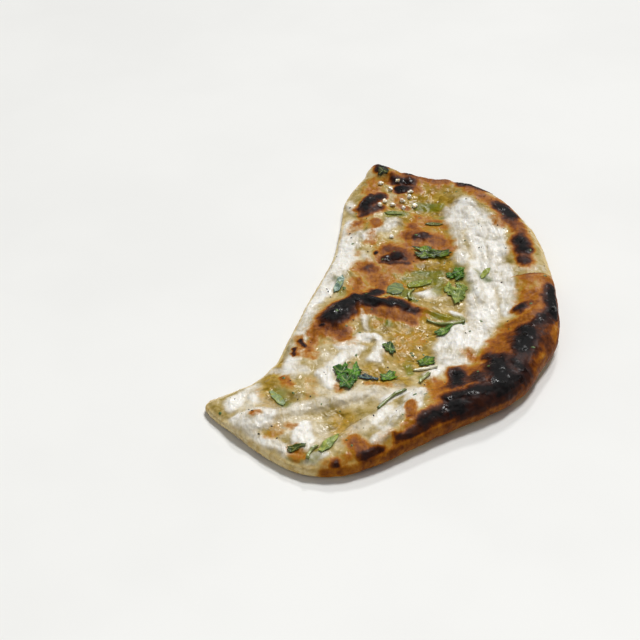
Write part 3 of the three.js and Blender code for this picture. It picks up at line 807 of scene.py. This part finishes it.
def node_plan(node, heading):
    """A node's middle, length and width in mm, and the ways along and across its heading."""
    points = coordinates(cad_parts[node].data)[:, :2] / MM
    turn = math.radians(heading)
    ahead = np.array([math.cos(turn), math.sin(turn)])
    aside = np.array([-ahead[1], ahead[0]])
    lows = [(points @ axis).min() for axis in (ahead, aside)]
    highs = [(points @ axis).max() for axis in (ahead, aside)]
    middle = (lows[0] + highs[0]) / 2 * ahead + (lows[1] + highs[1]) / 2 * aside
    return middle, highs[0] - lows[0], highs[1] - lows[1], ahead, aside


def leaf_reach(turn, lobes, seed):
    """How far a leaf reaches, from 0 to 1, and how far each place round it is from its lobe's rib.

    The turn is 0 at the tip, and pi or -pi at the stalk."""
    share = (turn / math.pi + 1) / 2
    place = share * lobes + 0.12 * np.sin(9 * share + seed)
    local = np.abs(2 * (place % 1) - 1)
    if lobes < 3:
        return 0.9 + 0.1 * np.sin(5 * turn + seed) * np.sin(2 * turn + 2 * seed), local
    lengths = 0.84 + 0.16 * np.sin(2.4 * np.floor(place) + 1.7 * seed)
    reach = 0.6 + 0.4 * (1 - local) ** 0.7
    reach = reach * lengths * (0.5 + 0.5 * np.sin(math.pi * share) ** 0.5)
    return reach * (1 - 0.2 * np.abs(np.sin(2.5 * math.pi * place + seed))), local


def make_leaf(node, look, number, height, settings, material):
    """A torn leaf, laid on the bread over its frame node."""
    heading, lobes, ruffle, tint, shade = look
    middle, length, width, ahead, aside = node_plan(node, heading)
    leaflets = ONE_LEAFLET
    if lobes >= MANY_LOBES:
        leaflets = THREE_LEAFLETS
        lobes = LEAFLET_LOBES
    squeeze = 1.0 if len(leaflets) == 1 else 0.75
    turn = np.linspace(-math.pi, math.pi, LEAF_POINTS, endpoint=False)
    shares = (np.arange(1, LEAF_RINGS + 1) / LEAF_RINGS) ** 0.8
    out = np.repeat(shares, LEAF_POINTS)
    thickness, lift = settings.leaf_thickness / MM, settings.leaf_lift / MM
    pale_tint, dark_tint = np.array(linear(tint)), np.array(linear(shade))
    meshes = []
    for k, (forward, sideways, size, spin) in enumerate(leaflets):
        # The outline on the plan.
        reach, local = leaf_reach(turn, lobes, number + 2.3 * k)
        x, y = reach * np.cos(turn), reach * np.sin(turn) * squeeze
        x, y = ((v - (v.max() + v.min()) / 2) / (v.max() - v.min()) * size for v in (x, y))
        sine, cosine = math.sin(math.radians(spin)), math.cos(math.radians(spin))
        x, y = x * cosine - y * sine + forward, x * sine + y * cosine + sideways
        flat = middle + shares[:, None, None] * ((x - forward)[:, None] * length * ahead
                                                 + (y - sideways)[:, None] * width * aside)
        flat += forward * length * ahead + sideways * width * aside

        # Its height over the bread, ruffled towards the edge.
        points = np.empty((LEAF_RINGS * LEAF_POINTS, 3))
        points[:, :2] = flat.reshape(-1, 2)
        points[:, 2] = [height(*spot) for spot in points[:, :2]]
        waves = np.abs(noise(points, 2.4, 200 + number)) + 0.5 * np.abs(noise(points, 1.1, 230 + number))
        folded = 0.5 * np.tile(1 - local, LEAF_RINGS)
        ruffled = lift * ruffle * (0.25 + out) * (waves + folded)
        points[:, 2] += thickness + LEAF_CLEARANCE + LEAFLET_STEP * k + ruffled
        points[:, 2] = np.minimum(points[:, 2], CAD_BOX[1][2] / MM)

        rings = points.reshape(LEAF_RINGS, LEAF_POINTS, 3)
        mesh = closed_disc(f"leaf_{number}_{k}", rings, rings[0].mean(axis=0), thickness)
        write_mask(mesh, "out", np.tile(np.concatenate([[0], out]), 2))
        write_mask(mesh, "lobe", np.tile(np.concatenate([[0], np.tile(local, LEAF_RINGS)]), 2))
        dark = np.clip(0.25 * k + 0.5 * noise(coordinates(mesh) / MM, 6.0, 260 + number), 0, 1)[:, None]
        write_colour(mesh, "tint", (1 - 0.6 * dark) * pale_tint + 0.6 * dark * dark_tint)
        write_colour(mesh, "shade", np.tile(dark_tint, (len(mesh.vertices), 1)))
        meshes.append(mesh)
    leaf = add_object(f"leaf_{number}", joined(meshes), material)
    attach(leaf, ROOT)
    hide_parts(node)


def make_stem(node, look, number, height, settings, material):
    """A cut stem, bent along the bread over its frame node."""
    heading, bend, tone = look
    middle, length, _, ahead, aside = node_plan(node, heading)
    radius = settings.stem_width / MM / 2
    points, tones, around = [], [], []
    for i in range(STEM_STEPS + 1):
        share = 2 * i / STEM_STEPS - 1
        spot = middle + ahead * share * (length / 2 - radius * 0.3) + aside * bend * (0.5 - share * share)
        swell = radius * (0.82 + 0.14 * math.sin(5 * share + number))
        ground = height(*spot)
        for k in range(STEM_SIDES):
            turn = 2 * math.pi * k / STEM_SIDES
            side = aside * swell * math.cos(turn)
            rise = swell * (0.95 + 0.8 * math.sin(turn))
            points.append((spot[0] + side[0], spot[1] + side[1], ground + rise))
            tones.append(tone + 0.25 * abs(share) ** 6)
            around.append(k / STEM_SIDES)
    faces = []
    for i in range(STEM_STEPS):
        first, then = i * STEM_SIDES, (i + 1) * STEM_SIDES
        for k in range(STEM_SIDES):
            after = (k + 1) % STEM_SIDES
            faces.append([first + k, then + k, then + after, first + after])
    faces.append(list(range(STEM_SIDES)))
    faces.append([STEM_STEPS * STEM_SIDES + k for k in reversed(range(STEM_SIDES))])
    mesh = bpy.data.meshes.new(f"stem_{number}")
    mesh.from_pydata((np.array(points) * MM).tolist(), [], faces)
    write_mask(mesh, "tone", np.clip(tones, 0, 1))
    write_mask(mesh, "across", np.array(around))
    stem = add_object(f"stem_{number}", mesh, material)
    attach(stem, ROOT)
    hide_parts(node)


def make_garlic(node, number, height, settings, material):
    """A lumpy bit of garlic, set into the bread over its frame node."""
    low, high = (np.array(corner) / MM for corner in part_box(node))
    middle, half = (low + high) / 2, (high - low) / 2
    work = bmesh.new()
    bmesh.ops.create_icosphere(work, subdivisions=4, radius=1.0)
    mesh = bpy.data.meshes.new(f"garlic_{number}")
    work.to_mesh(mesh)
    work.free()
    points = coordinates(mesh)
    lumps = 1 + settings.garlic_roughness * layered(points + 9.0 * number, 0.9, 300 + number, 2)
    points = np.sign(points) * np.abs(points) ** 0.85 * lumps[:, None] * 0.9
    ground = height(middle[0], middle[1])
    points = points * half + (middle[0], middle[1], ground + half[2] * GARLIC_STAND)
    set_coordinates(mesh, points * MM)
    bit = add_object(f"garlic_{number}", mesh, material)
    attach(bit, ROOT)
    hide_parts(node)


class NAAN_OT_garnish(bpy.types.Operator):
    """Lay the coriander leaves, the stems and the bits of garlic on the bread"""
    bl_idname = "naan.garnish"
    bl_label = "Lay the coriander and garlic"

    def execute(self, context):
        settings = context.scene.naan_garnish
        height = bread_surface()
        green, stalk, clove = leaf_green(), stem_green(), toasted_garlic()
        for number, (node, look) in enumerate(zip(numbered("coriander_leaf"), LEAF_LOOKS, strict=True), 1):
            make_leaf(node, look, number, height, settings, green)
        for number, (node, look) in enumerate(zip(numbered("coriander_stem"), STEM_LOOKS, strict=True), 1):
            make_stem(node, look, number, height, settings, stalk)
        for number, node in enumerate(numbered("garlic_bit"), 1):
            make_garlic(node, number, height, settings, clove)
        return {"FINISHED"}


def scatter_tree():
    """Geometry nodes that scatter small rough chips over the top of an object."""
    tree = bpy.data.node_groups.new("scatter_chips", "GeometryNodeTree")
    face = tree.interface
    face.new_socket("Geometry", in_out="INPUT", socket_type="NodeSocketGeometry")
    wanted = {"Surface": "Object", "Count": "Float", "Length": "Float", "Flatness": "Float", "Seed": "Int",
              "Material": "Material"}
    identifiers = {}
    for name, kind in wanted.items():
        socket = face.new_socket(name, in_out="INPUT", socket_type="NodeSocket" + kind)
        identifiers[name] = socket.identifier
    face.new_socket("Geometry", in_out="OUTPUT", socket_type="NodeSocketGeometry")
    node, link = tree.nodes.new, tree.links.new

    def random_number(low, high):
        """A random number's output. Its number sockets come after those for vectors."""
        made = node("FunctionNodeRandomValue")
        made.inputs[2].default_value = low
        made.inputs[3].default_value = high
        return made.outputs[1]

    def product(value, factor):
        made = node("ShaderNodeMath")
        made.operation = "MULTIPLY"
        link(value, made.inputs[0])
        if isinstance(factor, float):
            made.inputs[1].default_value = factor
        else:
            link(factor, made.inputs[1])
        return made.outputs[0]

    given = node("NodeGroupInput")
    surface = node("GeometryNodeObjectInfo")
    surface.transform_space = "RELATIVE"
    link(given.outputs["Surface"], surface.inputs["Object"])

    # Places on the faces that look up.
    normal = node("GeometryNodeInputNormal")
    parts = node("ShaderNodeSeparateXYZ")
    link(normal.outputs[0], parts.inputs[0])
    upward = node("FunctionNodeCompare")
    upward.operation = "GREATER_THAN"
    upward.inputs[1].default_value = 0.8
    link(parts.outputs["Z"], upward.inputs[0])
    spread = node("GeometryNodeDistributePointsOnFaces")
    link(surface.outputs["Geometry"], spread.inputs["Mesh"])
    link(upward.outputs[0], spread.inputs["Selection"])
    link(given.outputs["Count"], spread.inputs["Density"])
    link(given.outputs["Seed"], spread.inputs["Seed"])

    # One rough chip of unit size.
    chip = node("GeometryNodeMeshIcoSphere")
    chip.inputs["Radius"].default_value = 0.5
    chip.inputs["Subdivisions"].default_value = 2
    jitter = node("FunctionNodeRandomValue")
    jitter.data_type = "FLOAT_VECTOR"
    jitter.inputs["Min"].default_value = (-0.11,) * 3
    jitter.inputs["Max"].default_value = (0.11,) * 3
    jolt = node("GeometryNodeSetPosition")
    link(chip.outputs["Mesh"], jolt.inputs["Geometry"])
    link(jitter.outputs[0], jolt.inputs["Offset"])

    # Each chip's own size, narrower and flatter than it is long.
    size = random_number(0.35, 1.0)
    flat = node("ShaderNodeCombineXYZ")
    link(size, flat.inputs["X"])
    link(product(size, 0.6), flat.inputs["Y"])
    link(product(size, given.outputs["Flatness"]), flat.inputs["Z"])
    scaled = node("ShaderNodeVectorMath")
    scaled.operation = "SCALE"
    link(flat.outputs[0], scaled.inputs[0])
    link(given.outputs["Length"], scaled.inputs["Scale"])

    # Its turn about the surface's normal.
    about = node("FunctionNodeAxisAngleToRotation")
    link(random_number(0.0, math.tau), about.inputs["Angle"])
    turned = node("FunctionNodeRotateRotation")
    turned.rotation_space = "LOCAL"
    link(spread.outputs["Rotation"], turned.inputs["Rotation"])
    link(about.outputs[0], turned.inputs["Rotate By"])

    placed = node("GeometryNodeInstanceOnPoints")
    link(spread.outputs["Points"], placed.inputs["Points"])
    link(jolt.outputs[0], placed.inputs["Instance"])
    link(turned.outputs[0], placed.inputs["Rotation"])
    link(scaled.outputs[0], placed.inputs["Scale"])
    real = node("GeometryNodeRealizeInstances")
    link(placed.outputs[0], real.inputs[0])
    paint = node("GeometryNodeSetMaterial")
    link(real.outputs[0], paint.inputs["Geometry"])
    link(given.outputs["Material"], paint.inputs["Material"])
    link(paint.outputs[0], node("NodeGroupOutput").inputs[0])
    return tree, identifiers


def scatter(name, tree, identifiers, values):
    """One plain mesh of all the chips that the tree scatters with these values."""
    holder = bpy.data.objects.new(name + "_holder", bpy.data.meshes.new(name + "_holder"))
    bpy.context.scene.collection.objects.link(holder)
    modifier = holder.modifiers.new("scatter", "NODES")
    modifier.node_group = tree
    for key, value in values.items():
        modifier[identifiers[key]] = value
    mesh = applied(holder, name)
    made = add_object(name, mesh, values["Material"])
    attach(made, ROOT)
    return made


class NAAN_OT_specks(bpy.types.Operator):
    """Scatter pepper specks and herb flecks over the bread"""
    bl_idname = "naan.specks"
    bl_label = "Scatter the specks"

    def execute(self, context):
        settings = context.scene.naan_specks
        tree, identifiers = scatter_tree()
        bread = bpy.data.objects["baked_naan"]
        scatter("pepper_specks", tree, identifiers,
                {"Surface": bread, "Count": settings.pepper_count, "Length": settings.pepper_size,
                 "Flatness": 0.7, "Seed": settings.seed, "Material": speck("pepper", "#15100E", "#3A2A1E")})
        flecks = scatter("herb_flecks", tree, identifiers,
                         {"Surface": bread, "Count": settings.fleck_count, "Length": settings.fleck_size,
                          "Flatness": 0.22, "Seed": settings.seed + 1,
                          "Material": speck("herb_fleck", "#2C4A1A", "#6E8A3A")})
        return {"FINISHED"}


def add_light(name, kind, place, power, spread):
    """A light that shines on the origin: a sun this wide in degrees, or a panel this wide in metres."""
    data = bpy.data.lights.new(name, kind)
    data.energy = power
    if kind == "SUN":
        data.angle = math.radians(spread)
    else:
        data.size = spread
    light = bpy.data.objects.new(name, data)
    light.location = place
    light.rotation_mode = "QUATERNION"
    light.rotation_quaternion = (-Vector(place)).to_track_quat("-Z", "Y")
    bpy.context.scene.collection.objects.link(light)


class NAAN_OT_stage(bpy.types.Operator):
    """Set the floor, the lights and the camera"""
    bl_idname = "naan.stage"
    bl_label = "Set the stage"

    def execute(self, context):
        scene, settings = context.scene, context.scene.naan_stage
        mesh = bpy.data.meshes.new("floor")
        corners = [(x * FLOOR_REACH, y * FLOOR_REACH, -FLOOR_DROP)
                   for x, y in ((-1, -1), (1, -1), (1, 1), (-1, 1))]
        mesh.from_pydata(corners, [], [(0, 1, 2, 3)])
        g = Graph("floor")
        shade = g.noise(0.12, 3)
        pale = tuple(settings.floor)
        colour = g.mix(g.step(shade, 0.35, 0.65), pale, tuple(c * 0.97 for c in pale))
        floor = add_object("floor", mesh, g.finish(colour, 0.6, None))

        add_light("key", "SUN", (0.3, 0.5, 1.0), settings.key, 14)
        add_light("glint", "SUN", (0.12, 0.8, 0.66), settings.glint, 7)
        add_light("fill", "AREA", (-0.6, -0.7, 0.7), settings.fill, 0.8)
        scene.world = bpy.data.worlds.new("studio")
        scene.world.use_nodes = True
        sky = next(n for n in scene.world.node_tree.nodes if n.type == "BACKGROUND")
        sky.inputs["Color"].default_value = (1.0, 0.995, 0.985, 1)
        sky.inputs["Strength"].default_value = settings.sky
        scene.view_settings.view_transform = "Standard"

        data = bpy.data.cameras.new("camera")
        data.lens = settings.lens
        data.clip_start, data.clip_end = 0.05, 20
        camera = bpy.data.objects.new("camera", data)
        aim = Vector(settings.aim)
        back = Vector((0, -math.cos(settings.elevation), math.sin(settings.elevation)))
        camera.location = aim + back * settings.distance
        camera.rotation_mode = "QUATERNION"
        camera.rotation_quaternion = (-back).to_track_quat("-Z", "Y")
        scene.collection.objects.link(camera)
        scene.camera = camera
        return {"FINISHED"}


class NAAN_PT_panel(bpy.types.Panel):
    """The naan's sizes, colours and makers"""
    bl_idname = "NAAN_PT_panel"
    bl_label = "Cheese Naan"
    bl_space_type = "VIEW_3D"
    bl_region_type = "UI"
    bl_category = "Naan"

    def draw(self, context):
        for group, operator in STEPS:
            box = self.layout.box()
            settings = getattr(context.scene, group)
            for name in settings.__annotations__:
                box.prop(settings, name)
            box.operator(operator)


STEPS = (("naan_bread", "naan.bread"), ("naan_garnish", "naan.garnish"), ("naan_specks", "naan.specks"),
         ("naan_stage", "naan.stage"))
GROUPS = {"naan_bread": BreadSettings, "naan_garnish": GarnishSettings, "naan_specks": SpeckSettings,
          "naan_stage": StageSettings}
CLASSES = (*GROUPS.values(), NAAN_OT_bread, NAAN_OT_garnish, NAAN_OT_specks, NAAN_OT_stage, NAAN_PT_panel)


def register():
    for cls in CLASSES:
        bpy.utils.register_class(cls)
    for name, group in GROUPS.items():
        setattr(bpy.types.Scene, name, PointerProperty(type=group))


def unregister():
    for name in GROUPS:
        delattr(bpy.types.Scene, name)
    for cls in reversed(CLASSES):
        bpy.utils.unregister_class(cls)


def main():
    register()
    for _, operator in STEPS:
        family, name = operator.split(".")
        getattr(getattr(bpy.ops, family), name)()


if __name__ == "__main__":
    main()
